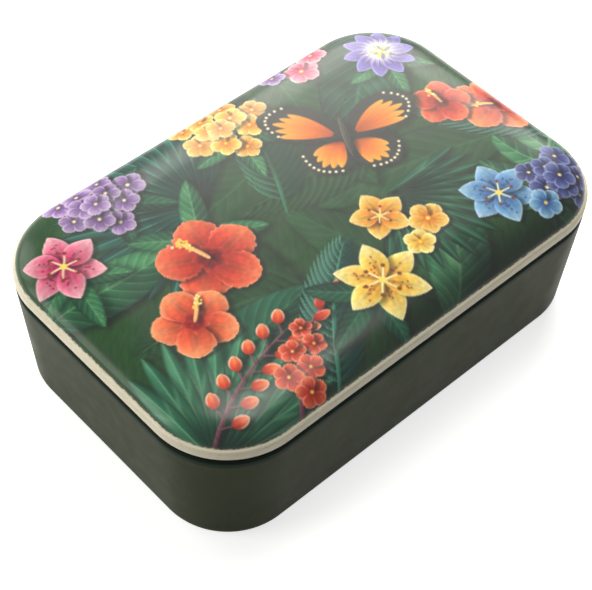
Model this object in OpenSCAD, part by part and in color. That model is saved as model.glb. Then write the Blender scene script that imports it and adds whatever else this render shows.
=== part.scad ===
// Lunch box: a moulded tub with a lift-off domed lid, a silicone lid seal,
// a printed film on the lid's crown, and a divider that slides along the tub.
// Frame: +X along the length, +Y across the width, +Z up, origin at the middle
// of the underside, where the foot ring rests.

/* [Plan] */
// Length of the box over the lid's side band
box_length = 195; // [170:1:230]
// Width of the box over the lid's side band
box_width = 129; // [115:1:150]
// Radius of the vertical corners, at the lid's side band
corner_radius = 30.5; // [27:0.5:36]

/* [Tub] */
// Height of the tub from the table to its rim
tub_height = 51.1; // [40:0.1:70]
// How far each wall leans in from the rim to the underside
tub_draft = 3.4; // [1:0.1:6]
// Wall thickness of the tub
tub_wall = 2.8; // [2.2:0.1:3.4]
// Thickness of the tub's floor, above the recess of the foot ring
tub_floor = 2.6; // [1.8:0.1:4]
// Radius of the tub's outer bottom edge
bottom_round = 5; // [3:0.5:8]
// Radius between the tub's wall and its floor, inside
inner_round = 6; // [3:0.5:9]
// Radius of the rim's outer edge
rim_round = 1.8; // [0.8:0.1:2]
// Width of the foot ring's resting face
foot_width = 5; // [3:0.5:8]
// Depth of the recess inside the foot ring
foot_recess = 0.8; // [0.4:0.1:1.5]

/* [Lid] */
// Height of the lid's upright side band, up to where its top edge rounds over
band_height = 3; // [2:0.1:6]
// Radius of the band's top edge, which ends at the printed film
band_round = 1.2; // [0.6:0.1:1.8]
// Rise of the domed crown above the side band
crown_rise = 7; // [4:0.5:12]
// Width of the crown's rolled shoulder, in from the film's edge
shoulder_width = 20; // [14:0.5:24]
// Thickness of the lid's crown
lid_wall = 2.4; // [1.8:0.1:3]
// Radius of the band's lower edge
band_under_round = 0.4; // [0.2:0.1:0.8]
// Depth that the lid's plug reaches below the tub's rim
plug_depth = 7; // [6:0.5:10]
// Thickness of the plug's wall
plug_wall = 2.1; // [1.5:0.1:3]
// How far the toe that holds the seal stands out from the plug's wall
toe_reach = 0.8; // [0.5:0.1:0.9]
// Height of the toe
toe_height = 1.2; // [0.8:0.1:2]

/* [Printed film] */
// Thickness of the printed film that is moulded onto the crown
film_thickness = 0.2; // [0.1:0.05:0.4]

/* [Seal] */
// Thickness of the seal's flange, which keeps the lid's band off the rim
seal_flange = 1.3; // [0.8:0.1:2]
// How far the flange's edge lies in from the outside of the band
seal_setback = 0.1; // [0:0.1:1.6]
// Thickness of the seal's upright leg
seal_leg = 1.05; // [0.9:0.05:1.2]
// How far the seal's lip stands out from its leg
lip_reach = 0.2; // [0.1:0.05:0.3]
// Height of the seal's lip
lip_height = 1; // [0.8:0.1:1.4]
// Clearance between the seal's leg and the tub's wall, at the tightest place
leg_clearance = 0.25; // [0.15:0.05:0.5]

/* [Divider] */
// Where the divider stands along the length, from the middle of the box
divider_x = 30; // [-55:1:55]
// Thickness of the divider's plate
divider_plate_thickness = 2.2; // [1.6:0.1:3]
// Thickness of the soft edging over the plate's edge
edging_thickness = 4.4; // [3.4:0.1:6]
// Depth of the soft edging beyond the plate's edge
edging_beyond = 1.4; // [0.8:0.1:2.5]
// Depth of the soft edging over the faces of the plate
edging_overlap = 3; // [2:0.1:5]
// Clearance between the edging and the tub
divider_clearance = 0.3; // [0.2:0.05:0.6]
// Clearance between the divider's top and the lid's plug
divider_headroom = 0.8; // [0.4:0.1:3]
// Height of the finger grip in the middle of the divider's top edge
grip_rise = 6; // [3:0.5:7]
// Length of the finger grip, between its two slopes
grip_length = 34; // [20:1:50]
// Length of each slope of the finger grip
grip_slope = 14; // [8:1:18]

/* [Hidden] */
$fn = 96;

// Steps along a small edge radius and along a large curve
edge_steps = 8;
curve_steps = 16;

// Lean of the tub's wall from the upright, in degrees
lean = atan(tub_draft / tub_height);
// Thickness of the leaning wall, measured along the level
wall_level = tub_wall / cos(lean);

// Level of the band's lower edge, of the film's edge and of the crown's top
band_z = tub_height + seal_flange;
film_edge_z = band_z + band_height + band_round;
crown_z = film_edge_z + crown_rise;

// The plug hangs inside the seal's leg, at the depth where the leaning wall is closest
plug_z = tub_height - plug_depth;
leg_foot_z = plug_z + toe_height;
leg_inset = tub_inset(leg_foot_z) + wall_level + leg_clearance;
plug_inset = leg_inset + seal_leg;
plug_inner_inset = plug_inset + plug_wall;

// Inner face of the crown, which springs from the plug just above the band's lower edge
crown_spring_z = band_z + lid_wall;
crown_inner_z = crown_z - film_thickness - lid_wall;

// The divider's top edge clears the plug
divider_top_z = plug_z - divider_headroom;
floor_z = foot_recess + tub_floor;

// How far the tub's outer wall lies in from the lid's band at a level
function tub_inset(z) = tub_draft * (1 - z / tub_height);

// Points of an arc about a centre, for sections drawn as [inset, level]
function arc(centre, radius, from, to, steps) =
    [for (i = [0 : steps])
        let (angle = from + (to - from) * i / steps)
        centre + radius * [-cos(angle), sin(angle)]];

// Points of a quarter ellipse from its upright end to its level end
function quarter(start_inset, start_z, run, rise, steps) =
    [for (i = [0 : steps])
        let (angle = 90 * i / steps)
        [start_inset + run * (1 - cos(angle)), start_z + rise * sin(angle)]];

function reversed(points) = [for (i = [len(points) - 1 : -1 : 0]) points[i]];

// Centre, at a level, of an arc that touches the leaning wall or a line set in from it.
// It lies on the inner side of the line, or on the outer side where the radius is negative.
function wall_arc_centre(inset, radius, z) = [tub_inset(z) + inset + radius / cos(lean), z];

// Sweeps a section, drawn as [inset, level], around the rounded outline of the box
module swept(section) {
    profile = [for (p = section) [corner_radius - p.x, p.y]];
    straight_x = box_length - 2 * corner_radius;
    straight_y = box_width - 2 * corner_radius;
    for (mx = [0, 1], my = [0, 1])
        mirror([mx, 0, 0]) mirror([0, my, 0])
            translate([straight_x / 2, straight_y / 2, 0])
                rotate_extrude(angle = 90) polygon(profile);
    for (my = [0, 1])
        mirror([0, my, 0]) translate([-straight_x / 2, straight_y / 2, 0])
            rotate([90, 0, 90]) linear_extrude(straight_x) polygon(profile);
    for (mx = [0, 1])
        mirror([mx, 0, 0]) translate([straight_x / 2, straight_y / 2, 0])
            rotate([90, 0, 0]) linear_extrude(straight_y) polygon(profile);
}

// Fills the middle of the box, inside the corner centres, between two levels
module middle(low, high) {
    translate([corner_radius - box_length / 2, corner_radius - box_width / 2, low])
        cube([box_length - 2 * corner_radius, box_width - 2 * corner_radius, high - low]);
}

module tub() {
    rim_inner_round = (wall_level - rim_round) / 2;
    foot_inset = tub_draft + bottom_round + foot_width;
    outer = concat(
        [[corner_radius, foot_recess], [foot_inset + foot_recess, foot_recess], [foot_inset, 0]],
        arc(wall_arc_centre(0, bottom_round, bottom_round), bottom_round, -90, -lean, edge_steps),
        arc(wall_arc_centre(0, rim_round, tub_height - rim_round), rim_round, -lean, 90, edge_steps));
    inner = concat(
        arc(wall_arc_centre(wall_level, -rim_inner_round, tub_height - rim_inner_round),
            -rim_inner_round, -90, -lean, edge_steps),
        reversed(arc(wall_arc_centre(wall_level, inner_round, floor_z + inner_round),
            inner_round, -90, -lean, edge_steps)),
        [[corner_radius, floor_z]]);
    color("#28382d") {
        swept(concat(outer, inner));
        middle(foot_recess, floor_z);
    }
}

module lid_shell() {
    outer = concat(
        arc([band_under_round, band_z + band_under_round], band_under_round, -90, 0, edge_steps / 2),
        quarter(0, band_z + band_height, band_round, band_round, edge_steps),
        quarter(band_round + film_thickness, film_edge_z,
            shoulder_width - film_thickness, crown_rise - film_thickness, curve_steps),
        [[corner_radius, crown_z - film_thickness]]);
    inner = concat(
        [[corner_radius, crown_inner_z]],
        reversed(quarter(plug_inner_inset, crown_spring_z,
            band_round + shoulder_width - plug_inner_inset, crown_inner_z - crown_spring_z, curve_steps)),
        [[plug_inner_inset, plug_z], [plug_inset - toe_reach, plug_z],
         [plug_inset - toe_reach, leg_foot_z], [plug_inset, leg_foot_z], [plug_inset, band_z]]);
    color("#e2dac4") {
        swept(concat(outer, inner));
        middle(crown_inner_z, crown_z - film_thickness);
    }
}

module lid_print() {
    outer = quarter(band_round, film_edge_z, shoulder_width, crown_rise, curve_steps);
    under = quarter(band_round + film_thickness, film_edge_z,
        shoulder_width - film_thickness, crown_rise - film_thickness, curve_steps);
    color("#2f5a44") {
        swept(concat(outer, [[corner_radius, crown_z], [corner_radius, crown_z - film_thickness]],
            reversed(under)));
        middle(crown_z - film_thickness, crown_z);
    }
}

module lid_seal() {
    lip_z = leg_foot_z + (tub_height - leg_foot_z) / 2;
    color("#121413")
        swept([
            [seal_setback, tub_height], [seal_setback, band_z], [plug_inset, band_z],
            [plug_inset, leg_foot_z], [leg_inset, leg_foot_z],
            [leg_inset, lip_z - lip_height / 2], [leg_inset - lip_reach, lip_z],
            [leg_inset, lip_z + lip_height / 2], [leg_inset, tub_height]]);
}

// Outline of the divider across the tub, set in from the tub's inner faces,
// as [distance across, level], from the foot of the left wall round to the right
function divider_side(gap) =
    [for (p = concat(
        arc(wall_arc_centre(wall_level + gap / cos(lean), inner_round, floor_z + gap + inner_round),
            inner_round, -90, -lean, edge_steps),
        [[tub_inset(divider_top_z) + wall_level + gap / cos(lean), divider_top_z]]))
        [box_width / 2 - p.x, p.y]];

// Top edge of the divider, with the finger grip's smooth slopes, from right to left
function divider_top() =
    [for (side = [1, -1], i = [0 : curve_steps])
        let (share = side > 0 ? i / curve_steps : 1 - i / curve_steps)
        [side * (grip_length / 2 + grip_slope * (1 - share)),
         divider_top_z + grip_rise * (1 - cos(180 * share)) / 2]];

module divider_outline(gap) {
    right = divider_side(gap);
    polygon(concat(right, divider_top(), [for (p = reversed(right)) [-p.x, p.y]]));
}

// Stands a flat outline up across the tub, centred on the divider's place
module across(thickness) {
    translate([divider_x - thickness / 2, 0, 0])
        rotate([90, 0, 90]) linear_extrude(thickness) children();
}

module divider_plate() {
    color("#e2dac4")
        across(divider_plate_thickness) divider_outline(divider_clearance + edging_beyond);
}

module divider_edging() {
    inside_gap = divider_clearance + edging_beyond + edging_overlap;
    color("#121413") difference() {
        across(edging_thickness) difference() {
            intersection() {
                divider_outline(divider_clearance);
                translate([-box_width, 0]) square([2 * box_width, divider_top_z]);
            }
            polygon(concat(divider_side(inside_gap),
                [[box_width / 2 - inside_gap - tub_inset(divider_top_z) - wall_level, tub_height],
                 [inside_gap + tub_inset(divider_top_z) + wall_level - box_width / 2, tub_height]],
                [for (p = reversed(divider_side(inside_gap))) [-p.x, p.y]]));
        }
        across(divider_plate_thickness) divider_outline(divider_clearance + edging_beyond);
    }
}

tub();
lid_shell();
lid_print();
lid_seal();
divider_plate();
divider_edging();
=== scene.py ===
"""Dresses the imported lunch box: smooth mouldings, a printed crown, silicone, and a plain pale studio."""

import math

import bmesh
import bpy
import numpy as np
from mathutils import Matrix, Vector


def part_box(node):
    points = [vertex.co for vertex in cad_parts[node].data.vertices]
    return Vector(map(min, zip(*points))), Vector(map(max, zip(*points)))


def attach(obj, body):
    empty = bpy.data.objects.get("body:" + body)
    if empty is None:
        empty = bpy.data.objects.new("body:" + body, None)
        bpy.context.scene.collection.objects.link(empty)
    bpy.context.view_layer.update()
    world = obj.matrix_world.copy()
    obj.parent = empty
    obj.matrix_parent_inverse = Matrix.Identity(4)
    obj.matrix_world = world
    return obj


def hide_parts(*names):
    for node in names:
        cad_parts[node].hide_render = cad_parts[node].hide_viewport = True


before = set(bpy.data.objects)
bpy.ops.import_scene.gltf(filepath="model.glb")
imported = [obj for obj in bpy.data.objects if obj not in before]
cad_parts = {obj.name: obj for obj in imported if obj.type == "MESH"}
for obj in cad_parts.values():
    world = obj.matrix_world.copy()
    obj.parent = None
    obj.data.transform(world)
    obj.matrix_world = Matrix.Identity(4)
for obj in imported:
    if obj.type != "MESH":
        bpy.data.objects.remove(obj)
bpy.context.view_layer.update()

# Lengths are in millimetres, and become metres when a mesh is made.
MM = 0.001


def node_box(node):
    """Lowest and highest corner of a CAD node, in millimetres."""
    return [np.array(corner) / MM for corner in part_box(node)]


TUB_HIGH = node_box("tub")[1]
LID_LOW, LID_HIGH = node_box("lid_shell")
FILM_LOW, FILM_HIGH = node_box("lid_print")
SEAL_LOW, SEAL_HIGH = node_box("lid_seal")
PLATE_LOW, PLATE_HIGH = node_box("divider_plate")
EDGING_LOW, EDGING_HIGH = node_box("divider_edging")

# The plan: a rounded rectangle at the lid's side band. A section's points are (inset, level).
HALF_X, HALF_Y = LID_HIGH[0], LID_HIGH[1]
CORNER_RADIUS = 30.5
CENTRE_X, CENTRE_Y = HALF_X - CORNER_RADIUS, HALF_Y - CORNER_RADIUS

# The tub
TUB_HEIGHT = TUB_HIGH[2]
TUB_DRAFT = 3.4
TUB_WALL = 2.8
TUB_FLOOR = 2.6
BOTTOM_ROUND = 5.0
INNER_ROUND = 6.0
RIM_ROUND = 1.8
FOOT_WIDTH = 5.0
FOOT_RECESS = 0.8
LEAN = math.atan(TUB_DRAFT / TUB_HEIGHT)
WALL_LEVEL = TUB_WALL / math.cos(LEAN)

# The lid
BAND_Z = SEAL_HIGH[2]
FILM_EDGE_Z = FILM_LOW[2]
CROWN_Z = FILM_HIGH[2]
BAND_ROUND = HALF_X - FILM_HIGH[0]
BAND_UNDER_ROUND = 0.4
SHOULDER_WIDTH = 20.0
FILM_THICKNESS = CROWN_Z - LID_HIGH[2]
LID_WALL = 2.4
PLUG_Z = LID_LOW[2]
LEG_FOOT_Z = SEAL_LOW[2]
LEG_CLEARANCE = 0.25
SEAL_LEG = 1.05
PLUG_WALL = 2.1
TOE_REACH = 0.8

# The seal
SEAL_SETBACK = HALF_X - SEAL_HIGH[0]
LIP_REACH = 0.2
LIP_HEIGHT = 1.0
SEAL_ROUND = 0.3

# The divider: its plate, the finger grip on it, and the soft edging round it
PLATE_THICKNESS = PLATE_HIGH[0] - PLATE_LOW[0]
PLATE_ROUND = 0.6
EDGING_THICKNESS = EDGING_HIGH[0] - EDGING_LOW[0]
EDGING_ROUND = 1.0
EDGING_BEYOND = 1.4
EDGING_OVERLAP = 3.0
DIVIDER_CLEARANCE = 0.3
DIVIDER_X = (PLATE_LOW[0] + PLATE_HIGH[0]) / 2
DIVIDER_TOP_Z = EDGING_HIGH[2]
GRIP_RISE = PLATE_HIGH[2] - EDGING_HIGH[2]
GRIP_LENGTH = 34.0
GRIP_SLOPE = 14.0

# Spacing of the film's vertices, which carry the picture's colours
PRINT_STEP = 0.42
# Half the width of the finest line that they can show
FINE_LINE = 0.3


# Sections


def tub_inset(z):
    """How far the tub's outer face lies in from the lid's band, at a level."""
    return TUB_DRAFT * (1 - z / TUB_HEIGHT)


def arc(centre, radius, start, end, steps):
    """Points of an arc; the angle runs from outwards, through up, to inwards."""
    angles = np.radians(np.linspace(start, end, steps + 1))
    return [(centre[0] - radius * math.cos(a), centre[1] + radius * math.sin(a)) for a in angles]


def quarter(inset, z, run, rise, steps):
    """Points of a quarter ellipse from its upright end to its level end."""
    angles = np.linspace(0, math.pi / 2, steps + 1)
    return [(inset + run * (1 - math.cos(a)), z + rise * math.sin(a)) for a in angles]


def wall_arc_centre(inset, radius, z):
    """Centre, at a level, of an arc that touches the leaning wall or a line set in from it."""
    return (tub_inset(z) + inset + radius / math.cos(LEAN), z)


def rounded(points, radius, steps=4):
    """Rounds the corners of a closed section; a corner takes less than half of each side."""
    out = []
    shares = np.linspace(0, 1, steps + 1)
    for before, corner, after in zip(points[-1:] + points[:-1], points, points[1:] + points[:1]):
        one, two = np.subtract(before, corner), np.subtract(after, corner)
        sides = math.hypot(*one), math.hypot(*two)
        one, two = one / sides[0], two / sides[1]
        half = math.acos(np.clip(one @ two, -1, 1)) / 2
        cut = min(radius / math.tan(half), 0.45 * min(sides))
        out += [tuple(corner + one * cut * (1 - t) ** 2 + two * cut * t ** 2) for t in shares]
    return out


def held(points, gap=0.8, least=3.0):
    """Adds points near both ends of each long straight, so that smooth shading stays flat between."""
    out = [points[0]]
    for a, b in zip(points, points[1:]):
        length = math.dist(a, b)
        if length > least:
            out += [tuple(np.array(a) + (np.array(b) - a) * t) for t in (gap / length, 1 - gap / length)]
        out.append(b)
    return out


# Sweeping a section around the box


def outline(corner_steps, long_cuts, short_cuts):
    """The box's outline, as places on the rectangle of corner centres and the way out from each.

    The cuts are the fractions at which the long and the short straights are divided."""
    corners = [(CENTRE_X, CENTRE_Y), (-CENTRE_X, CENTRE_Y), (-CENTRE_X, -CENTRE_Y), (CENTRE_X, -CENTRE_Y)]
    base, out = [], []
    for i, corner in enumerate(corners):
        turns = np.radians(90 * i + np.linspace(0, 90, corner_steps + 1))
        base += [np.array(corner)] * len(turns)
        out += [np.array([math.cos(a), math.sin(a)]) for a in turns]
        following = np.array(corners[(i + 1) % 4])
        for t in short_cuts if i % 2 else long_cuts:
            base.append(corner + (following - corner) * t)
            out.append(out[-1])
    return np.array(base), np.array(out)


def ring(plan, inset, z):
    """Points all round the box, moved in from the band by an inset, at a level."""
    base, out = plan
    flat = base + (CORNER_RADIUS - inset) * out
    return np.column_stack([flat, np.full(len(flat), z)])


def swept_faces(count, n):
    """Quads between neighbouring rings of n points each."""
    i = np.arange(n)
    j = (i + 1) % n
    return [quad for k in range(count - 1) for quad in
            np.column_stack([k * n + i, k * n + j, (k + 1) * n + j, (k + 1) * n + i]).tolist()]


def end_faces(count, n):
    """Faces that close the first and the last ring."""
    return [range(n), range((count - 1) * n, count * n)]


def closed_faces(rings):
    """Faces between all rings and over both ends."""
    n = len(rings[0])
    return swept_faces(len(rings), n) + end_faces(len(rings), n)


def new_object(name, vertices, faces, material, sharp=35):
    """A mesh object from points in millimetres, with doubles merged and smooth shading."""
    mesh = bpy.data.meshes.new(name)
    mesh.from_pydata((np.asarray(vertices) * MM).tolist(), [], faces)
    piece = bpy.data.objects.new(name, mesh)
    bpy.context.scene.collection.objects.link(piece)
    work = bmesh.new()
    work.from_mesh(mesh)
    bmesh.ops.remove_doubles(work, verts=work.verts, dist=1e-7)
    bmesh.ops.dissolve_degenerate(work, edges=work.edges, dist=1e-7)
    bmesh.ops.recalc_face_normals(work, faces=work.faces)
    work.to_mesh(mesh)
    work.free()
    mesh.shade_smooth()
    mesh.set_sharp_from_angle(angle=math.radians(sharp))
    mesh.materials.append(material)
    return piece


def end_cuts(length, near=1.0):
    """Fractions along a straight: close to its ends, and a few between."""
    ends = [near / length, 4 * near / length]
    return ends + [0.2, 0.5, 0.8] + [1 - t for t in reversed(ends)]


def swept(name, section, material, corner_steps=28):
    """Sweeps a section round the box. One that isn't closed starts and ends in the middle of the box."""
    plan = outline(corner_steps, end_cuts(2 * CENTRE_X), end_cuts(2 * CENTRE_Y))
    rings = [ring(plan, x, z) for x, z in held(section)]
    n = len(rings[0])
    faces = swept_faces(len(rings), n)
    if section[0] != section[-1]:
        faces += end_faces(len(rings), n)
    return new_object(name, np.vstack(rings), faces, material)


# The picture on the crown: leaves and flowers on a dark ground. Places are in millimetres on the
# crown, angles in degrees from +X, and colours are sRGB numbers from 0 to 255.

PAINTED_LIGHT = np.array([-0.5, 0.87])
ART_FOLIAGE = {
    "dark": ((16, 44, 34), (30, 82, 60), (74, 132, 100)),
    "fresh": ((24, 66, 46), (52, 116, 78), (128, 176, 122)),
    "blue": ((14, 50, 46), (32, 92, 80), (96, 150, 130)),
    "teal": ((34, 84, 62), (62, 124, 94), (120, 176, 140)),
    "night": ((26, 57, 32), (35, 73, 41), (50, 98, 60)),
}
ART_PETALS = {
    "red": ((150, 30, 22), (214, 70, 48), (240, 128, 88)),
    "coral": ((178, 44, 28), (232, 98, 60), (250, 160, 110)),
    "gold": ((214, 110, 30), (240, 172, 66), (252, 220, 140)),
    "lemon": ((226, 150, 40), (244, 204, 90), (252, 236, 170)),
    "pink": ((186, 40, 90), (222, 112, 142), (246, 184, 196)),
    "violet": ((92, 60, 120), (150, 116, 178), (200, 174, 214)),
    "navy": ((38, 40, 88), (70, 78, 138), (122, 130, 186)),
    "sky": ((52, 84, 150), (100, 150, 198), (168, 204, 230)),
}


def smooth(low, high, x):
    """A smooth step from 0 at low to 1 at high."""
    t = np.clip((x - low) / (high - low), 0, 1)
    return t * t * (3 - 2 * t)


def ramp(t, *colours):
    """Colours spaced evenly along t from 0 to 1."""
    stops = np.linspace(0, 1, len(colours))
    table = np.array(colours, float)
    return np.stack([np.interp(t, stops, table[:, c]) for c in range(3)], -1)


def toward(angle):
    """The unit vector at an angle."""
    return np.array([math.cos(math.radians(angle)), math.sin(math.radians(angle))])


def mottle(x, y, size, seed):
    """Smooth noise from -1 to 1, with blotches of about the given size."""
    draw = np.random.default_rng(seed)
    total = 0
    for _ in range(7):
        wave = toward(draw.uniform(0, 360)) * 2 * math.pi / (size * draw.uniform(0.7, 1.6))
        total = total + np.sin(wave[0] * x + wave[1] * y + draw.uniform(0, 6.3))
    return np.clip(total / 3.5, -1, 1)


class Blade:
    """A leaf-like shape: a bent spine, with a width that swells and tapers along it.

    A peak over 1 moves the widest place towards the tip, and a low full makes the ends blunter."""

    def __init__(self, base, angle, length, width, bend=0, peak=1.0, full=0.8, knots=10):
        t = np.linspace(0, 1, knots)
        turn = np.radians(angle + bend * (t[:-1] + t[1:]) / 2)
        steps = np.column_stack([np.cos(turn), np.sin(turn)]) * length / (knots - 1)
        self.spine = np.vstack([base, np.asarray(base) + np.cumsum(steps, 0)])
        self.length, self.width, self.peak, self.full = length, width, peak, full
        self.angle = angle + bend / 2

    def half_width(self, u):
        return self.width / 2 * np.clip(np.sin(math.pi * np.clip(u, 0, 1) ** self.peak), 0, 1) ** self.full

    def at(self, u):
        t = np.linspace(0, 1, len(self.spine))
        return np.array([np.interp(u, t, self.spine[:, 0]), np.interp(u, t, self.spine[:, 1])])

    def direction(self, u):
        dx, dy = self.at(min(u + 0.05, 1)) - self.at(max(u - 0.05, 0))
        return math.degrees(math.atan2(dy, dx))

    def measure(self, x, y):
        """At points: u along the spine, v across from -1 to 1, and the depth inside the edge."""
        best = np.full(x.shape, np.inf)
        u, side = np.zeros(x.shape), np.zeros(x.shape)
        count = len(self.spine) - 1
        for i in range(count):
            start, run = self.spine[i], self.spine[i + 1] - self.spine[i]
            px, py = x - start[0], y - start[1]
            t = np.clip((px * run[0] + py * run[1]) / (run @ run), 0, 1)
            qx, qy = px - t * run[0], py - t * run[1]
            gap = qx * qx + qy * qy
            near = gap < best
            best = np.where(near, gap, best)
            u = np.where(near, (i + t) / count, u)
            side = np.where(near, np.sign(run[0] * qy - run[1] * qx), side)
        gap = np.sqrt(best)
        half = self.half_width(u)
        return u, side * gap / np.maximum(half, 0.05), half - gap


class Picture:
    """Colours at scattered points, over which shapes are painted."""

    def __init__(self, x, y, grain):
        self.x, self.y, self.grain = x, y, grain
        self.rgb = np.zeros(x.shape + (3,))

    def near(self, points, margin):
        """Indices of the picture's points in the box around some points, widened by a margin."""
        low, high = np.min(points, 0) - margin, np.max(points, 0) + margin
        between = (self.x > low[0]) & (self.x < high[0])
        return np.flatnonzero(between & (self.y > low[1]) & (self.y < high[1]))

    def lay(self, where, colour, cover):
        self.rgb[where] += (colour - self.rgb[where]) * cover[:, None]

    def shade(self, blade, strength=0.45, soft=2.2, shift=(0.9, -1.3)):
        """Paints a soft shadow below a blade."""
        where = self.near(blade.spine + shift, blade.width / 2 + soft)
        if len(where):
            _, _, depth = blade.measure(self.x[where] - shift[0], self.y[where] - shift[1])
            self.rgb[where] *= (1 - strength * smooth(-soft, soft * 0.6, depth))[:, None]

    def blade(self, blade, paint, shadow=0.45, soft=2.0, ragged=0.0):
        """Paints a blade; paint(u, v, depth, x, y) gives its colours."""
        if shadow:
            self.shade(blade, shadow, soft)
        where = self.near(blade.spine, blade.width / 2 + 1)
        if not len(where):
            return
        x, y = self.x[where], self.y[where]
        u, v, depth = blade.measure(x, y)
        if ragged:
            depth = depth + ragged * mottle(x, y, 3.0, int(blade.length * 10))
        cover = np.clip(depth / self.grain + 0.5, 0, 1)
        hit = cover > 0
        if hit.any():
            colour = paint(u[hit], v[hit], depth[hit], x[hit], y[hit])
            lit = PAINTED_LIGHT @ toward(blade.angle + 90)
            colour = colour * (1 + 0.10 * lit * np.clip(v[hit], -1, 1))[:, None]
            self.lay(where[hit], np.clip(colour, 0, 255), cover[hit])

    def dot(self, place, radius, colour, soft=0.0):
        where = self.near([place], radius + 1)
        gap = np.hypot(self.x[where] - place[0], self.y[where] - place[1])
        cover = np.clip((radius - gap) / (self.grain + soft) + 0.5, 0, 1)
        self.lay(where, np.array(colour, float), cover)


# Ways to paint a blade


def petal(base, middle, tip, vein=None, veins=9, fold=0.35, rim=0.25):
    """A ramp from base to tip, with fine veins, a fold down the middle and a pale rim."""
    vein = base if vein is None else vein

    def paint(u, v, depth, x, y):
        colour = ramp(u + 0.06 * np.cos(v * 7), base, middle, tip)
        fan = np.abs(np.sin(v * veins * (0.6 + 0.4 * u))) ** 6
        colour += (np.array(vein) - colour) * (0.30 * fan * smooth(1.0, 0.2, u))[:, None]
        colour *= (1 - fold * np.exp(-(v / 0.16) ** 2) * smooth(0.95, 0.3, u))[:, None]
        colour += (255 - colour) * (rim * smooth(0.9, 0.25, depth) * smooth(0.15, 0.5, u))[:, None]
        return colour * (1 + 0.05 * mottle(x, y, 3, 5))[:, None]

    return paint


def leaf(dark, middle, pale, ribs, slant=0.2, rib=0.6):
    """Two differently lit halves, ribs with pillows between them, and a pale midrib."""

    def paint(u, v, depth, x, y):
        across = np.clip(np.abs(v), 0, 1)
        phase = (u * ribs - across * slant * ribs) % 1
        tone = 0.42 + 0.20 * np.sign(v) * (1 - np.exp(-across * 6)) + 0.25 * (phase - 0.5) - 0.15 * across
        colour = ramp(np.clip(tone + 0.12 * mottle(x, y, 14, 3), 0, 1), dark, middle, pale)
        line = np.exp(-((phase - 0.02) / 0.07) ** 2) + np.exp(-((phase - 0.98) / 0.07) ** 2)
        colour += (np.array(pale) - colour) * (rib * 0.55 * line * (1 - 0.6 * across))[:, None]
        # the midrib keeps a least width, and fades where the leaf is narrow
        from_rib = depth * across / np.maximum(1 - across, 0.02)
        half = from_rib + depth
        midrib = rib * np.exp(-(from_rib / np.maximum(0.045 * half, FINE_LINE)) ** 2) * (1 - 0.4 * u)
        midrib *= np.clip(half / 2, 0, 1)
        colour += (np.array(pale) * 1.08 - colour) * midrib[:, None]
        return colour * (1 - 0.25 * smooth(1.2, 0.0, depth))[:, None]

    return paint


def streak(low, high, lines=5):
    """For a narrow blade, such as a palm's leaflet or a stem."""

    def paint(u, v, depth, x, y):
        tone = 0.5 + 0.35 * v + 0.15 * np.sin(v * lines * 2) + 0.2 * (u - 0.5)
        return ramp(np.clip(tone, 0, 1), low, high)

    return paint


# Motifs


def big_leaf(art, base, angle, length, width, bend, foliage, ribs):
    """A broad leaf with ribs."""
    art.blade(Blade(base, angle, length, width, bend, 0.8, 0.62, 16), leaf(*foliage, ribs), 0.4, 3.0)


def fan_palm(art, centre, angle, radius, foliage, spread, count):
    """Narrow leaves that spread from one centre."""
    for t in np.linspace(-1, 1, count):
        length = radius * (1 - 0.18 * t * t)
        blade = Blade(centre, angle + t * spread / 2, length, radius * 0.13, 6 * t, 1.15, 0.7)
        art.blade(blade, leaf(*foliage, 2, rib=0.8), 0.25, 1.0)


def frond(art, base, angle, length, bend, foliage, count, leaflet, droop=30):
    """A bent stem with drooping leaflets on both sides."""
    stem = Blade(base, angle, length, 1.6, bend, 0.5, 0.5, 14)
    for i in range(count):
        u = 0.1 + 0.9 * i / count
        reach = leaflet * math.sin(math.pi * (0.18 + 0.8 * u)) ** 0.7
        for side in (1, -1):
            turn = stem.direction(u) + side * (62 - 30 * u)
            blade = Blade(stem.at(u), turn, reach, reach * 0.11 + 0.7, -side * droop, 0.8, 0.8, 8)
            art.blade(blade, streak(foliage[0], foliage[2] if side > 0 else foliage[1]), 0.2, 0.9)
    art.blade(stem, streak(foliage[1], foliage[2]), 0)


def split_leaf(art, base, angle, size, foliage, lobes=6):
    """A leaf with deep cuts: lobes on both sides of a midrib, each with its own rib."""
    rib = Blade(base, angle, size, size * 0.04, 12, 0.6, 0.6, 12)
    parts = []
    for i in range(lobes):
        u = 0.02 + 0.86 * i / (lobes - 1)
        for side in (1, -1):
            turn = rib.direction(u) + side * (118 - 96 * u)
            length = size * (0.50 - 0.10 * u)
            parts.append(Blade(rib.at(u), turn, length, size * 0.21, -side * 34, 0.75, 0.5, 9))
    parts.append(Blade(rib.at(0.8), rib.direction(0.9), size * 0.28, size * 0.2, 0, 0.8, 0.6, 8))
    for part in parts:
        art.shade(part, 0.22, 2.5)
    for part in parts:
        art.blade(part, leaf(*foliage, 4, rib=0.75), 0.18, 0.8)
    art.blade(rib, streak(foliage[1], foliage[2]), 0)


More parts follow.
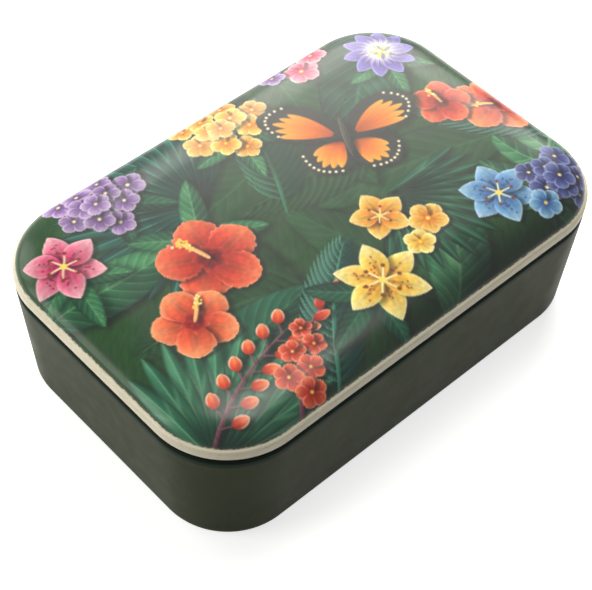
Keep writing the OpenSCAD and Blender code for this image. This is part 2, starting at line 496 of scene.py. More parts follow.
def hibiscus(art, centre, size, angle, colours, heart):
    """Five broad ruffled petals, a dark heart, and a long column with pollen."""
    base, middle, tip = colours
    for i in (0, 2, 4, 1, 3):
        blade = Blade(centre, angle + 72 * i - 7, size * 0.56, size * 0.50, 14, 1.25, 0.55, 10)
        art.blade(blade, petal(base, middle, tip, heart, 8, 0.30, 0.22), 0.5, 2.0, ragged=size * 0.014)
    for i in range(5):
        blade = Blade(centre, angle + 72 * i, size * 0.2, size * 0.13, 0, 0.8, 0.8, 6)
        art.blade(blade, petal(heart, heart, middle, rim=0), 0)
    column = Blade(centre, angle + 20, size * 0.42, size * 0.05, 16, 0.6, 0.4, 8)
    art.blade(column, streak((236, 150, 90), (255, 226, 160)), 0.5, 1.2)
    draw = np.random.default_rng(int(size * 7 + abs(centre[0])))
    for _ in range(26):
        at = column.at(draw.uniform(0.55, 1.0)) + draw.normal(0, size * 0.028, 2)
        art.dot(at, size * 0.013 + 0.12, (250, 205, 92) if draw.uniform() < 0.7 else (255, 240, 190))


def star(art, centre, size, angle, count, colours, width, bend=10, spots=None):
    """A flower of pointed petals, such as a lily."""
    order = list(range(1, count, 2)) + list(range(0, count, 2))
    for k in order:
        turn = angle + 360 * k / count
        blade = Blade(centre, turn - bend / 2, size * 0.52, size * width, bend, 0.95, 0.85, 9)
        art.blade(blade, petal(*colours, veins=5, fold=0.28), 0.45, 1.6)
        if spots:
            draw = np.random.default_rng(k + int(size))
            for _ in range(9):
                at = blade.at(draw.uniform(0.2, 0.6)) + draw.normal(0, size * width * 0.12, 2)
                art.dot(at, size * 0.010 + 0.08, spots)
    for k in range(6):
        stamen = Blade(centre, angle + 30 + 60 * k, size * 0.2, size * 0.02 + 0.1, 12, 0.5, 0.4, 5)
        art.blade(stamen, streak((230, 235, 170), (250, 250, 210)), 0)
        art.dot(stamen.at(1), size * 0.02 + 0.15, (120, 60, 30))
    art.dot(centre, size * 0.045, (250, 220, 110), soft=0.3)


def rosette(art, centre, size, angle, colours, count=5, width=0.46, eye=(255, 214, 92)):
    """A small round flower with a bright eye."""
    for k in range(count):
        blade = Blade(centre, angle + 360 * k / count, size * 0.5, size * width, 8, 1.5, 0.6, 7)
        art.blade(blade, petal(*colours, veins=4, fold=0.25, rim=0.3), 0.42, 1.1)
    art.dot(centre, size * 0.10, colours[0], soft=0.5)
    art.dot(centre, size * 0.055, eye, soft=0.2)


def cluster(art, centre, size, count, flower, colours, seed, eye=(255, 214, 92)):
    """Small round flowers, crowded together."""
    draw = np.random.default_rng(seed)
    for k in range(count):
        at = np.asarray(centre) + toward(137.5 * k) * size * math.sqrt((count - 1 - k) / count) * 0.5
        shade = np.clip(np.array(colours) * draw.uniform(0.88, 1.08), 0, 255)
        rosette(art, at, flower * draw.uniform(0.9, 1.12), draw.uniform(0, 72), shade, eye=eye)


def passion_flower(art, centre, size, angle, outer, inner, crown, heart):
    """Ten broad petals below a ring of fine threads."""
    tip = np.minimum(np.array(outer) * 1.15 + 14, 255)
    for k in range(10):
        blade = Blade(centre, angle + 36 * k, size * 0.5, size * 0.24, 6, 1.1, 0.65, 8)
        art.blade(blade, petal(inner, outer, tip, veins=4), 0.35, 1.3)
    for k in range(60):
        thread = Blade(centre, angle + 6 * k, size * (0.30 + 0.03 * (k % 3)), 0.42, 10, 0.6, 0.3, 4)
        art.blade(thread, lambda u, v, depth, x, y: ramp(u, heart, (250, 245, 250), crown), 0)
    art.dot(centre, size * 0.09, heart, soft=0.4)
    for k in range(5):
        anther = Blade(centre, angle + 72 * k, size * 0.15, size * 0.05, 0, 1.4, 0.6, 4)
        art.blade(anther, streak((214, 200, 90), (246, 238, 150)), 0.4, 0.8)
    art.dot(centre, size * 0.035, (240, 246, 200), soft=0.2)


def butterfly(art, centre, span, angle):
    """Four black wings with orange cells and cream spots."""
    centre = np.asarray(centre, float)
    cream = (240, 232, 200)

    def night(u, v, depth, x, y):
        return ramp(np.clip(u * 0.6 + 0.25 * (1 - np.abs(v)), 0, 1), (26, 26, 28), (52, 50, 50))

    def ember(u, v, depth, x, y):
        return ramp(u, (176, 70, 20), (232, 120, 34), (250, 176, 66))

    for side in (1, -1):
        hind = Blade(centre, angle + side * 128, span * 0.36, span * 0.32, side * 14, 1.0, 0.55, 12)
        fore = Blade(centre, angle + side * 52, span * 0.56, span * 0.30, side * 22, 1.25, 0.55, 12)
        for wing, spread in ((hind, 25), (fore, 16)):
            art.blade(wing, night, 0.6, 3.2, ragged=span * 0.006)
            for t in np.linspace(-1, 1, 5):
                start = centre + toward(wing.angle + t * 8) * wing.length * 0.14
                reach = wing.length * (0.67 - 0.10 * abs(t))
                art.blade(Blade(start, wing.direction(0.3) + t * spread, reach, wing.width * 0.19,
                                side * 10, 1.3, 0.55, 8), ember, 0)
            for t in np.linspace(-1, 1, 9):
                across = toward(wing.direction(0.9) + 90) * t * wing.width * 0.40
                art.dot(wing.at(0.90 - 0.16 * t * t) + across, span * 0.008 + 0.1, cream)
    body = Blade(centre - toward(angle) * span * 0.16, angle, span * 0.34, span * 0.05, 0, 0.9, 0.5, 8)
    art.blade(body, streak((18, 18, 20), (96, 88, 80)), 0.5, 1.5)
    for side in (1, -1):
        feeler = Blade(body.at(0.96), angle + side * 16, span * 0.17, 0.5, side * 22, 0.4, 0.3, 8)
        art.blade(feeler, night, 0)
        art.dot(body.at(0.96) + toward(angle + side * 28) * span * 0.165, 0.55, (26, 26, 28))


def berries(art, base, angle, length, bend, colours, stem_colours):
    """A bent stem with berries on short stalks."""
    stem = Blade(base, angle, length, 1.5, bend, 0.4, 0.4, 16)
    art.blade(stem, streak(*stem_colours), 0.4, 1.4)
    for i in range(13):
        u = 0.25 + 0.75 * i / 12
        side = 1 if i % 2 else -1
        stalk = Blade(stem.at(u), stem.direction(u) + side * 52, 5.5, 0.7, side * 10, 0.4, 0.4, 5)
        art.blade(stalk, streak(*stem_colours), 0.3, 1.0)
        berry = Blade(stalk.at(0.8), stem.direction(u) + side * 40, 6.2, 4.6, 0, 0.9, 0.5, 7)
        art.blade(berry, petal(*colours, veins=3, fold=0.0, rim=0.5), 0.45, 1.4)


def spray(art, base, angle, length, bend, flower, colours, stem_colours, count):
    """An arching stem of small flowers, with buds towards its tip."""
    stem = Blade(base, angle, length, 1.7, bend, 0.4, 0.4, 16)
    art.blade(stem, streak(*stem_colours), 0.4, 1.4)
    for i in reversed(range(count)):
        u = 0.22 + 0.78 * i / (count - 1)
        side = 1 if i % 2 else -1
        size = flower * (1 - 0.55 * u)
        at = stem.at(u) + toward(stem.direction(u) + 90 * side) * size * 0.34
        if u < 0.7:
            rosette(art, at, size, 40 * i, colours)
        else:
            turn = stem.direction(u) + side * 35
            bud = Blade(stem.at(u), turn, size * 0.9, size * 0.5, -side * 12, 0.9, 0.6, 7)
            art.blade(bud, petal(*colours, veins=3, fold=0.15), 0.45, 1.4)


def tuft(art, centre, angle, length, foliage, count=3, spread=110):
    """Leaves that spread out from below a flower."""
    for t in np.linspace(-1, 1, count):
        base = np.asarray(centre) + toward(angle) * length * 0.15
        reach = length * (1 - 0.15 * abs(t))
        big_leaf(art, base, angle + t * spread / 2, reach, length * 0.34, 14 * t, foliage, 8)


def paint_leaves(art):
    green = ART_FOLIAGE
    for base, angle, length, width, bend in (
        ((-60, -70), 60, 90, 30, 20), ((20, -66), 120, 80, 26, -20), ((80, -20), 160, 80, 28, 15),
        ((-90, 10), 20, 80, 26, 20), ((10, 30), 200, 70, 24, -25), ((40, 70), 250, 80, 26, 20)):
        big_leaf(art, base, angle, length, width, bend, green["night"], 12)
    frond(art, (-20, -30), 150, 70, 30, green["night"], 16, 20)
    frond(art, (60, 20), 200, 80, -30, green["night"], 18, 22)
    big_leaf(art, (104, 62), 204, 96, 34, 26, green["dark"], 16)
    big_leaf(art, (-104, -52), 30, 84, 30, -26, green["dark"], 14)
    fan_palm(art, (-94, -60), 30, 54, green["teal"], 116, 13)
    fan_palm(art, (-28, 24), 128, 54, green["blue"], 170, 19)
    split_leaf(art, (64, -52), 30, 52, green["fresh"])
    frond(art, (-8, 2), 58, 70, 24, green["dark"], 19, 20)
    frond(art, (-46, -68), 60, 66, -26, green["blue"], 19, 19)
    big_leaf(art, (6, -70), 42, 66, 24, 22, green["fresh"], 12)
    big_leaf(art, (-102, 22), -20, 56, 22, 30, green["fresh"], 11)
    fan_palm(art, (26, -14), -66, 42, green["dark"], 130, 15)
    frond(art, (102, -30), 140, 62, -22, green["blue"], 17, 17)


def paint_flowers(art):
    green, petals = ART_FOLIAGE, ART_PETALS
    plum = ((96, 52, 66), (150, 96, 112))
    tuft(art, (-56, 50), -40, 26, green["dark"])
    cluster(art, (-56, 50), 30, 11, 12, petals["violet"], 8, (250, 240, 150))
    tuft(art, (-82, 34), -100, 26, green["fresh"])
    star(art, (-82, 34), 29, 15, 6, petals["pink"], 0.34, spots=(150, 20, 60))
    tuft(art, (-42, 8), 60, 30, green["fresh"], 3, 150)
    hibiscus(art, (-42, 4), 34, 80, petals["red"], (120, 16, 24))
    hibiscus(art, (-64, -14), 27, 20, petals["coral"], (150, 24, 24))
    tuft(art, (2, 48), -70, 26, green["fresh"], 4, 180)
    cluster(art, (2, 50), 32, 11, 12.5, petals["gold"], 3)
    berries(art, (-98, -60), 38, 62, -30, petals["coral"], plum)
    spray(art, (-62, -68), 66, 56, -56, 13, petals["red"], plum, 10)
    tuft(art, (-6, -42), 200, 28, green["dark"])
    star(art, (-4, -42), 33, 70, 6, petals["lemon"], 0.30, spots=(176, 70, 20))
    star(art, (16, -20), 22, 10, 5, petals["gold"], 0.4)
    rosette(art, (28, -32), 15, 20, petals["gold"])
    rosette(art, (18, -38), 12, 50, petals["lemon"])
    star(art, (56, -40), 28, 15, 6, petals["sky"], 0.36, spots=(40, 60, 130))
    cluster(art, (80, -48), 26, 9, 12, petals["navy"], 5, (255, 236, 160))
    rosette(art, (66, -54), 13, 10, petals["sky"])
    tuft(art, (76, 42), 250, 24, green["fresh"])
    passion_flower(art, (76, 42), 29, 10, (118, 104, 176), (60, 54, 120), (96, 70, 160), (226, 222, 236))
    hibiscus(art, (90, -6), 29, 130, petals["coral"], (140, 20, 30))
    hibiscus(art, (74, 6), 21, 60, petals["red"], (120, 16, 24))
    rosette(art, (46, 54), 15, 0, petals["pink"])
    rosette(art, (56, 60), 13, 30, petals["pink"])
    rosette(art, (36, 60), 11, 30, petals["violet"])
    butterfly(art, (34, 16), 62, 62)


def paint_picture(x, y, grain):
    """sRGB colours, from 0 to 255, at points of the crown."""
    art = Picture(x, y, grain)
    tone = 0.5 + 0.28 * mottle(x, y, 70, 11) + 0.16 * mottle(x, y, 22, 12) + 0.10 * y / HALF_Y
    hatch = 1 + 0.08 * mottle(x * 0.25 + y * 0.15, y * 0.9 - x * 0.9, 2.2, 13)
    art.rgb[:] = ramp(np.clip(tone, 0, 1), (28, 60, 31), (35, 72, 37), (43, 83, 44)) * hatch[:, None]
    paint_leaves(art)
    # the picture is darkened along the -Y side, except near its -X end
    art.rgb *= (1 - 0.45 * smooth(-46, -62, y) * smooth(-50, 0, x))[:, None]
    paint_flowers(art)
    return np.clip(art.rgb, 0, 255)


# Materials

# The cream that shows where the ink stops short of the film's edge
BARE_CREAM = (233, 225, 206)


def linear(colour):
    """Linear values of sRGB numbers from 0 to 255."""
    colour = np.asarray(colour, float) / 255
    return np.where(colour > 0.04045, ((colour + 0.055) / 1.055) ** 2.4, colour / 12.92)


def srgb(*colour):
    """A shader's colour from sRGB numbers from 0 to 255."""
    return (*linear(colour), 1.0)


class Finish:
    """A material: a Principled shader, and helpers for the nodes that feed it."""

    def __init__(self, name, roughness, specular):
        self.material = bpy.data.materials.new(name)
        self.material.use_nodes = True
        self.nodes, self.links = self.material.node_tree.nodes, self.material.node_tree.links
        self.shader = self.nodes["Principled BSDF"]
        self.shader.inputs["Specular IOR Level"].default_value = specular
        self.place = self.nodes.new("ShaderNodeTexCoord").outputs["Object"]
        self.spread(self.noise(6, 3), *roughness, into=self.shader.inputs["Roughness"])

    def feed(self, value, socket):
        if isinstance(value, bpy.types.NodeSocket):
            self.links.new(value, socket)
        else:
            socket.default_value = value

    def noise(self, size, detail, stretch=(1, 1, 1)):
        """Noise with features of about the given size, in millimetres."""
        node = self.nodes.new("ShaderNodeTexNoise")
        node.inputs["Scale"].default_value = 1 / (size * MM)
        node.inputs["Detail"].default_value = detail
        place = self.place
        if stretch != (1, 1, 1):
            mapping = self.nodes.new("ShaderNodeMapping")
            mapping.inputs["Scale"].default_value = stretch
            self.links.new(place, mapping.inputs["Vector"])
            place = mapping.outputs["Vector"]
        self.links.new(place, node.inputs["Vector"])
        return node.outputs["Fac"]

    def spread(self, value, low, high, start=0.3, end=0.7, into=None):
        """Carries start..end over to low..high."""
        node = self.nodes.new("ShaderNodeMapRange")
        for key, number in (("From Min", start), ("From Max", end), ("To Min", low), ("To Max", high)):
            node.inputs[key].default_value = number
        self.links.new(value, node.inputs["Value"])
        if into:
            self.links.new(node.outputs["Result"], into)
        return node.outputs["Result"]

    def above(self, z, fade):
        """1 over a level, in millimetres, and 0 below it."""
        node = self.nodes.new("ShaderNodeSeparateXYZ")
        self.links.new(self.place, node.inputs["Vector"])
        return self.spread(node.outputs["Z"], 0, 1, (z - fade / 2) * MM, (z + fade / 2) * MM)

    def mix(self, factor, first, second, mode="MIX"):
        node = self.nodes.new("ShaderNodeMix")
        node.data_type = "RGBA"
        node.blend_type = mode
        self.feed(factor, node.inputs["Factor"])
        self.feed(first, node.inputs["A"])
        self.feed(second, node.inputs["B"])
        return node.outputs["Result"]

    def colour(self, value):
        self.links.new(value, self.shader.inputs["Base Color"])

    def relief(self, *layers):
        """Bumps: pairs of a height from 0 to 1 and its depth in millimetres."""
        normal = None
        for height, depth in layers:
            node = self.nodes.new("ShaderNodeBump")
            node.inputs["Distance"].default_value = depth * MM
            self.links.new(height, node.inputs["Height"])
            if normal:
                self.links.new(normal, node.inputs["Normal"])
            normal = node.outputs["Normal"]
        self.links.new(normal, self.shader.inputs["Normal"])


def tub_finish():
    """Satin moulded composite: dark green, a little cloudy, with faint fibre flecks, and a rim darkened by
    painted shade.
    """
    finish = Finish("tub_green", (0.38, 0.46), 0.036)
    cloud = finish.mix(finish.spread(finish.noise(26, 3), 0, 1), srgb(55, 61, 41), srgb(61, 67, 46))
    fleck = finish.spread(finish.noise(0.7, 1, (1, 1, 0.35)), 0, 0.12, 0.60, 0.72)
    body = finish.mix(fleck, cloud, srgb(88, 93, 69))
    # painted shade: the rim's round is darkened to stand in for the lid's shadow and dark reflections on it
    finish.colour(finish.mix(finish.above(TUB_HEIGHT - 2 * RIM_ROUND, 1.2), body, srgb(24, 41, 28)))
    finish.relief((finish.noise(24, 2), 0.05), (finish.noise(0.9, 2), 0.003))
    return finish.material


def cream_finish():
    """Cream moulded composite with fine tan fibre flecks."""
    finish = Finish("lid_cream", (0.38, 0.48), 0.15)
    cloud = finish.mix(finish.spread(finish.noise(18, 3), 0, 1), srgb(240, 231, 209), srgb(246, 238, 219))
    fleck = finish.spread(finish.noise(0.8, 1, (0.5, 0.5, 1)), 0, 0.18, 0.60, 0.72)
    finish.colour(finish.mix(fleck, cloud, srgb(178, 158, 120)))
    finish.relief((finish.noise(20, 2), 0.03), (finish.noise(0.8, 2), 0.004))
    return finish.material


def print_finish():
    """The printed film: the picture from the vertices' colours, with the grain of its ink."""
    finish = Finish("print_film", (0.21, 0.27), 0.3)
    picture = finish.nodes.new("ShaderNodeVertexColor")
    picture.layer_name = "picture"
    grain = finish.spread(finish.noise(1.1, 4, (1.6, 0.7, 1)), 0.94, 1.06)
    grey = finish.nodes.new("ShaderNodeCombineColor")
    for channel in ("Red", "Green", "Blue"):
        finish.links.new(grain, grey.inputs[channel])
    finish.colour(finish.mix(1.0, picture.outputs["Color"], grey.outputs["Color"], "MULTIPLY"))
    finish.relief((finish.noise(16, 2), 0.03), (finish.noise(1.2, 2), 0.003))
    return finish.material


def silicone_finish():
    """Matt black silicone with a breath of dust."""
    finish = Finish("black_silicone", (0.52, 0.66), 0.02)
    dust = finish.spread(finish.noise(2.2, 4), 0, 0.5, 0.45, 0.75)
    finish.colour(finish.mix(dust, srgb(4, 5, 4), srgb(12, 13, 11)))
    finish.relief((finish.noise(0.5, 2), 0.008))
    return finish.material


TUB_GREEN = tub_finish()
LID_CREAM = cream_finish()
PRINT = print_finish()
SILICONE = silicone_finish()


# Pieces


def make_tub():
    rim_inner_round = (WALL_LEVEL - RIM_ROUND) / 2
    foot_inset = TUB_DRAFT + BOTTOM_ROUND + FOOT_WIDTH
    floor_z = FOOT_RECESS + TUB_FLOOR
    lean = math.degrees(LEAN)
    section = [(CORNER_RADIUS, FOOT_RECESS), (foot_inset + FOOT_RECESS, FOOT_RECESS), (foot_inset, 0)]
    section += arc(wall_arc_centre(0, BOTTOM_ROUND, BOTTOM_ROUND), BOTTOM_ROUND, -90, -lean, 14)
    section += arc(wall_arc_centre(0, RIM_ROUND, TUB_HEIGHT - RIM_ROUND), RIM_ROUND, -lean, 90, 12)
    section += arc(wall_arc_centre(WALL_LEVEL, -rim_inner_round, TUB_HEIGHT - rim_inner_round),
                   -rim_inner_round, -90, -lean, 8)
    section += arc(wall_arc_centre(WALL_LEVEL, INNER_ROUND, floor_z + INNER_ROUND),
                   INNER_ROUND, -90, -lean, 14)[::-1]
    section += [(CORNER_RADIUS, floor_z)]
    tub = swept("tub_moulding", section, TUB_GREEN)
    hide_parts("tub")
    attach(tub, "tub")


def shoulder(depth, steps):
    """The crown's shoulder, at a depth below the film's face."""
    rise = CROWN_Z - FILM_EDGE_Z - depth
    return quarter(BAND_ROUND + depth, FILM_EDGE_Z, SHOULDER_WIDTH - depth, rise, steps)


def leg_insets():
    """Insets of the seal's leg: its outer face, and its inner face on the plug."""
    leg_inset = tub_inset(LEG_FOOT_Z) + WALL_LEVEL + LEG_CLEARANCE
    return leg_inset, leg_inset + SEAL_LEG


def make_lid():
    _, plug_inset = leg_insets()
    plug_inner = plug_inset + PLUG_WALL
    inner_z = LID_HIGH[2] - LID_WALL
    section = [(CORNER_RADIUS, inner_z)]
    section += quarter(plug_inner, BAND_Z + LID_WALL, BAND_ROUND + SHOULDER_WIDTH - plug_inner,
                       inner_z - BAND_Z - LID_WALL, 24)[::-1]
    toe_inset = plug_inset - TOE_REACH
    section += [(plug_inner, PLUG_Z), (toe_inset, PLUG_Z), (toe_inset, LEG_FOOT_Z)]
    section += [(plug_inset, LEG_FOOT_Z), (plug_inset, BAND_Z)]
    section += arc((BAND_UNDER_ROUND, BAND_Z + BAND_UNDER_ROUND), BAND_UNDER_ROUND, -90, 0, 6)
    section += quarter(0, FILM_EDGE_Z - BAND_ROUND, BAND_ROUND, BAND_ROUND, 10)
    section += shoulder(FILM_THICKNESS, 24)
    section += [(CORNER_RADIUS, LID_HIGH[2])]
    lid = swept("lid_moulding", section, LID_CREAM)
    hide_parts("lid_shell")
    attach(lid, "lid")


def make_seal():
    leg_inset, plug_inset = leg_insets()
    lip_z = (LEG_FOOT_Z + TUB_HEIGHT) / 2
    section = rounded([
        (SEAL_SETBACK, TUB_HEIGHT), (SEAL_SETBACK, BAND_Z), (plug_inset, BAND_Z), (plug_inset, LEG_FOOT_Z),
        (leg_inset, LEG_FOOT_Z), (leg_inset, lip_z - LIP_HEIGHT / 2), (leg_inset - LIP_REACH, lip_z),
        (leg_inset, lip_z + LIP_HEIGHT / 2), (leg_inset, TUB_HEIGHT)], SEAL_ROUND)
    seal = swept("seal_ring", section + section[:1], SILICONE)
    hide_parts("lid_seal")
    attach(seal, "lid")


def divider_side(gap, top):
    """The divider's edge from its foot to its top, as (across, level), a gap inside the tub's faces."""
    wall_gap = WALL_LEVEL + gap / math.cos(LEAN)
    centre = wall_arc_centre(wall_gap, INNER_ROUND, FOOT_RECESS + TUB_FLOOR + gap + INNER_ROUND)
    side = arc(centre, INNER_ROUND, -90, -math.degrees(LEAN), 14)
    foot = side[-1]
    head = (tub_inset(top) + wall_gap, top)
    side += [tuple(np.array(foot) + (np.array(head) - foot) * t) for t in (0.05, 0.35, 0.65, 0.95, 1)]
    return [(HALF_Y - x, z) for x, z in side]


def plate_outline(inset):
    """The plate's outline, as (across, level), an inset inside its edge."""
    top = DIVIDER_TOP_Z - inset
    right = divider_side(DIVIDER_CLEARANCE + EDGING_BEYOND + inset, top)
    share = np.linspace(0, 1, 17)
    across = GRIP_LENGTH / 2 + GRIP_SLOPE * (1 - share)
    slope = list(zip(across, top + GRIP_RISE * (1 - np.cos(math.pi * share)) / 2))
    half = right + slope
    return np.array(half + [(-y, z) for y, z in half[::-1]])


def make_divider_plate():
    rim = arc((PLATE_ROUND, PLATE_THICKNESS / 2 - PLATE_ROUND), PLATE_ROUND, 0, 90, 5)
    rim += [(PLATE_ROUND + 1, PLATE_THICKNESS / 2)]
    rings = []
    for inset, x in [(inset, -x) for inset, x in rim[::-1]] + rim:
        line = plate_outline(inset)
        rings.append(np.column_stack([np.full(len(line), DIVIDER_X + x), line]))
    plate = new_object("divider_board", np.vstack(rings), closed_faces(rings), LID_CREAM)
    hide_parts("divider_plate")
    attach(plate, "divider")


def make_divider_edging():
    outer, slot = EDGING_THICKNESS / 2, PLATE_THICKNESS / 2
    depth = EDGING_BEYOND + EDGING_OVERLAP
    section = rounded([(outer, 0), (outer, depth), (slot, depth), (slot, EDGING_BEYOND),
                       (-slot, EDGING_BEYOND), (-slot, depth), (-outer, depth), (-outer, 0)], EDGING_ROUND)
    paths = [divider_side(DIVIDER_CLEARANCE + inset, DIVIDER_TOP_Z) for _, inset in section]
    paths = [path[::-1] + [(-y, z) for y, z in path] for path in paths]
    # each ring is the section at one place along the edge
    rings = []
    for i in range(len(paths[0])):
        rings.append([(DIVIDER_X + x, *path[i]) for (x, _), path in zip(section, paths)])
    edging = new_object("divider_gasket", np.vstack(rings), closed_faces(rings), SILICONE)
    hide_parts("divider_edging")
    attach(edging, "divider")


def unroll(x, y, z, section):
    """Places of the film laid flat, and how far each lies from its edge along the face."""
    points = np.array(section)
    runs = np.hypot(*np.diff(points, axis=0).T)
    along = np.concatenate([[0], np.cumsum(runs)])
    base_x, base_y = np.clip(x, -CENTRE_X, CENTRE_X), np.clip(y, -CENTRE_Y, CENTRE_Y)
    out_x, out_y = x - base_x, y - base_y
    radius = np.hypot(out_x, out_y)
    on_flat = z > CROWN_Z - 1e-4
    reach = along[-1] + CORNER_RADIUS - points[-1, 0]
    edge = np.where(on_flat, reach - radius, np.interp(z, points[:, 1], along))
    flat_radius = reach - edge
    stretch = np.where(radius > 1e-6, flat_radius / np.maximum(radius, 1e-6), 1)
    return base_x + out_x * stretch, base_y + out_y * stretch, edge


def make_film():
    """A thin closed film. Its face is fine enough to carry the picture on its vertices."""
    long_count, short_count = round(2 * CENTRE_X / PRINT_STEP), round(2 * CENTRE_Y / PRINT_STEP)
    corner_count = round(math.pi / 2 * (CORNER_RADIUS - BAND_ROUND) / PRINT_STEP)
    flat_count = round((CORNER_RADIUS - BAND_ROUND - SHOULDER_WIDTH) / PRINT_STEP)
    long_cuts = np.arange(1, long_count) / long_count
    short_cuts = np.arange(1, short_count) / short_count
    plan = outline(corner_count, long_cuts, short_cuts)
    face = shoulder(0, 64)
    flat = [(x, CROWN_Z) for x in np.linspace(face[-1][0], CORNER_RADIUS, flat_count + 1)[1:]]
    rings = [ring(plan, x, z) for x, z in shoulder(FILM_THICKNESS, 10)[::-1] + face + flat]
    n = len(rings[0])
    faces = swept_faces(len(rings), n)
    faces.append(range(n))
    # the middle of the face
    xs = np.linspace(-CENTRE_X, CENTRE_X, long_count + 1)
    ys = np.linspace(-CENTRE_Y, CENTRE_Y, short_count + 1)
    grid = np.column_stack([a.ravel() for a in np.meshgrid(xs, ys)] + [np.full(len(xs) * len(ys), CROWN_Z)])
    row = len(xs)
    corner = len(rings) * n + (np.arange(short_count)[:, None] * row + np.arange(long_count)).ravel()
    faces += np.column_stack([corner, corner + 1, corner + row + 1, corner + row]).tolist()
    film = new_object("printed_film", np.vstack(rings + [grid]), faces, PRINT)
    print_picture(film.data, face)
    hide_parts("lid_print")
    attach(film, "lid")


def print_picture(mesh, face):
    """Paints the film's vertices with the picture."""
    places = np.empty(len(mesh.vertices) * 3, np.float32)
    mesh.vertices.foreach_get("co", places)
    x, y, z = places.reshape(-1, 3).T.astype(float) / MM
    flat_x, flat_y, edge = unroll(x, y, z, face)
    colours = np.ones((len(x), 4))
    colours[:, :3] = linear(paint_picture(flat_x, flat_y, PRINT_STEP))
    # the ink stops a little unevenly above the film's edge
    bare = 0.35 + 0.16 * mottle(x, y, 5, 21) + 0.26 * mottle(x, y, 1.6, 22)
    cover = smooth(-0.15, 0.15, edge - bare)[:, None]
    colours[:, :3] += (linear(BARE_CREAM) - colours[:, :3]) * (1 - cover)
    mesh.color_attributes.new("picture", "FLOAT_COLOR", "POINT").data.foreach_set("color", colours.ravel())
    lay_flat(mesh, flat_x, flat_y)


def lay_flat(mesh, flat_x, flat_y):
    """Lays the film's face flat on the map that textures are baked to."""
    corners = np.empty(len(mesh.loops), np.int32)
    mesh.loops.foreach_get("vertex_index", corners)
    sizes = np.empty(len(mesh.polygons), np.int32)
    mesh.polygons.foreach_get("loop_total", sizes)
    normals = np.empty(len(mesh.polygons) * 3, np.float32)
    mesh.polygons.foreach_get("normal", normals)
    below = np.repeat(normals[2::3] < 0, sizes)
    # the face fills the map's width, and the back is a small copy above it
    back_scale, back_up = 0.15, 0.42
    across = 2 * np.abs(flat_x).max() + 1
    u, v = flat_x[corners] / across, flat_y[corners] / across
    u = np.where(below, u * back_scale, u) + 0.5
    v = np.where(below, v * back_scale + back_up, v) + 0.5
    mesh.uv_layers.new(name="OFBake").data.foreach_set("uv", np.column_stack([u, v]).ravel())


make_tub()
make_lid()
make_film()
make_seal()
make_divider_plate()
make_divider_edging()


# Studio

LAMP_COLOUR = (1.0, 0.99, 0.90)
LAMP_AIM = Vector((0, 0, 0.05))
FLOOR_HALF = 4.0
FLOOR_GAP = 0.0002


def make_camera():
    """The camera stands at the photograph's angle, with its lens set for a picture 592 pixels wide."""
    picture_w, focal_px = 592, 1577.7
    distance, azimuth, elevation, roll = 580.6, math.radians(44.17), math.radians(50.48), math.radians(2.40)
    aim_z, shift_right, shift_up = 35.0, -2.97, -13.58
    out = Vector((-math.sin(azimuth) * math.cos(elevation), -math.cos(azimuth) * math.cos(elevation),
                  math.sin(elevation)))
    right = (-out).cross(Vector((0, 0, 1))).normalized()
    up = right.cross(-out)
    target = Vector((0, 0, aim_z)) + right * shift_right + up * shift_up
    place = (target + out * distance) * MM
    rolled_right = right * math.cos(roll) + up * math.sin(roll)
    rolled_up = up * math.cos(roll) - right * math.sin(roll)
    data = bpy.data.cameras.new("camera")
    data.sensor_fit = "HORIZONTAL"
    data.lens = data.sensor_width * focal_px / picture_w
    data.clip_start, data.clip_end = 0.01, 20
    camera = bpy.data.objects.new("camera", data)
    bpy.context.scene.collection.objects.link(camera)
    turn = Matrix((rolled_right, rolled_up, out)).transposed()
    camera.matrix_world = Matrix.Translation(place) @ turn.to_4x4()
    bpy.context.scene.camera = camera


def add_light(name, place, size, power):
    """A square softbox that looks at the box: its place and side in metres, and its power in watts."""
    data = bpy.data.lights.new(name, "AREA")
    data.energy = power
    data.color = LAMP_COLOUR
    data.size = size
    lamp = bpy.data.objects.new(name, data)
    bpy.context.scene.collection.objects.link(lamp)
    lamp.location = place
    lamp.rotation_euler = (LAMP_AIM - Vector(place)).to_track_quat("-Z", "Y").to_euler()


def seen_directly(nodes, links):
    """1 for rays from the camera, and for reflected and refracted rays, and otherwise 0."""
    path = nodes.new("ShaderNodeLightPath")
    total = path.outputs["Is Camera Ray"]
    for output in ("Is Glossy Ray", "Is Transmission Ray"):
        add = nodes.new("ShaderNodeMath")
        add.operation = "MAXIMUM"
        links.new(total, add.inputs[0])
        links.new(path.outputs[output], add.inputs[1])
        total = add.outputs[0]
    return total


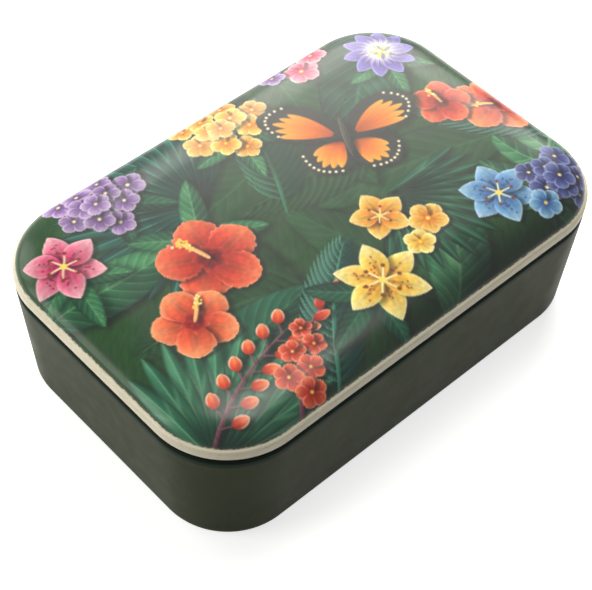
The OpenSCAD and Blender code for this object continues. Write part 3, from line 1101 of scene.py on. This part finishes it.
def scaled(nodes, links, value, low, high):
    """Carries 0..1 over to low..high."""
    node = nodes.new("ShaderNodeMapRange")
    node.inputs["To Min"].default_value = low
    node.inputs["To Max"].default_value = high
    links.new(value, node.inputs["Value"])
    return node.outputs["Result"]


def make_world(strength):
    world = bpy.data.worlds.new("studio")
    bpy.context.scene.world = world
    world.use_nodes = True
    nodes, links = world.node_tree.nodes, world.node_tree.links
    background = nodes["Background"]
    background.inputs["Color"].default_value = (1, 1, 1, 1)
    brightness = scaled(nodes, links, seen_directly(nodes, links), strength, 1.0)
    links.new(brightness, background.inputs["Strength"])


def make_floor(glow):
    """A white floor: it takes the object's shadow, and seen directly it glows up to white."""
    material = bpy.data.materials.new("floor_white")
    material.use_nodes = True
    nodes, links = material.node_tree.nodes, material.node_tree.links
    shader = nodes["Principled BSDF"]
    shader.inputs["Base Color"].default_value = (0.85, 0.85, 0.85, 1)
    shader.inputs["Roughness"].default_value = 1.0
    shader.inputs["Specular IOR Level"].default_value = 0.0
    shader.inputs["Emission Color"].default_value = (1, 1, 1, 1)
    brightness = scaled(nodes, links, seen_directly(nodes, links), 0, glow)
    links.new(brightness, shader.inputs["Emission Strength"])
    mesh = bpy.data.meshes.new("floor")
    corners = [(x * FLOOR_HALF, y * FLOOR_HALF, 0) for x, y in ((-1, -1), (1, -1), (1, 1), (-1, 1))]
    mesh.from_pydata(corners, [], [(0, 1, 2, 3)])
    floor = bpy.data.objects.new("floor", mesh)
    bpy.context.scene.collection.objects.link(floor)
    mesh.materials.append(material)
    floor.location.z = -FLOOR_GAP


make_camera()
make_world(strength=0.07)
make_floor(glow=0.75)
add_light("back", (0.57, 0.61, 0.55), 0.45, 3.4)
add_light("back_high", (0.45, 0.69, 0.66), 0.4, 1.4)
add_light("back_right", (0.79, 0.44, 0.50), 0.4, 2.4)
add_light("back_low", (0.65, 0.80, 0.30), 0.5, 1.4)
add_light("back_left", (-0.35, 0.95, 0.50), 0.6, 3.2)
add_light("left", (-0.90, 0.50, 0.49), 0.6, 4.1)
add_light("top", (0.19, 0.11, 1.03), 0.42, 4.6)
bpy.context.scene.view_settings.view_transform = "Standard"
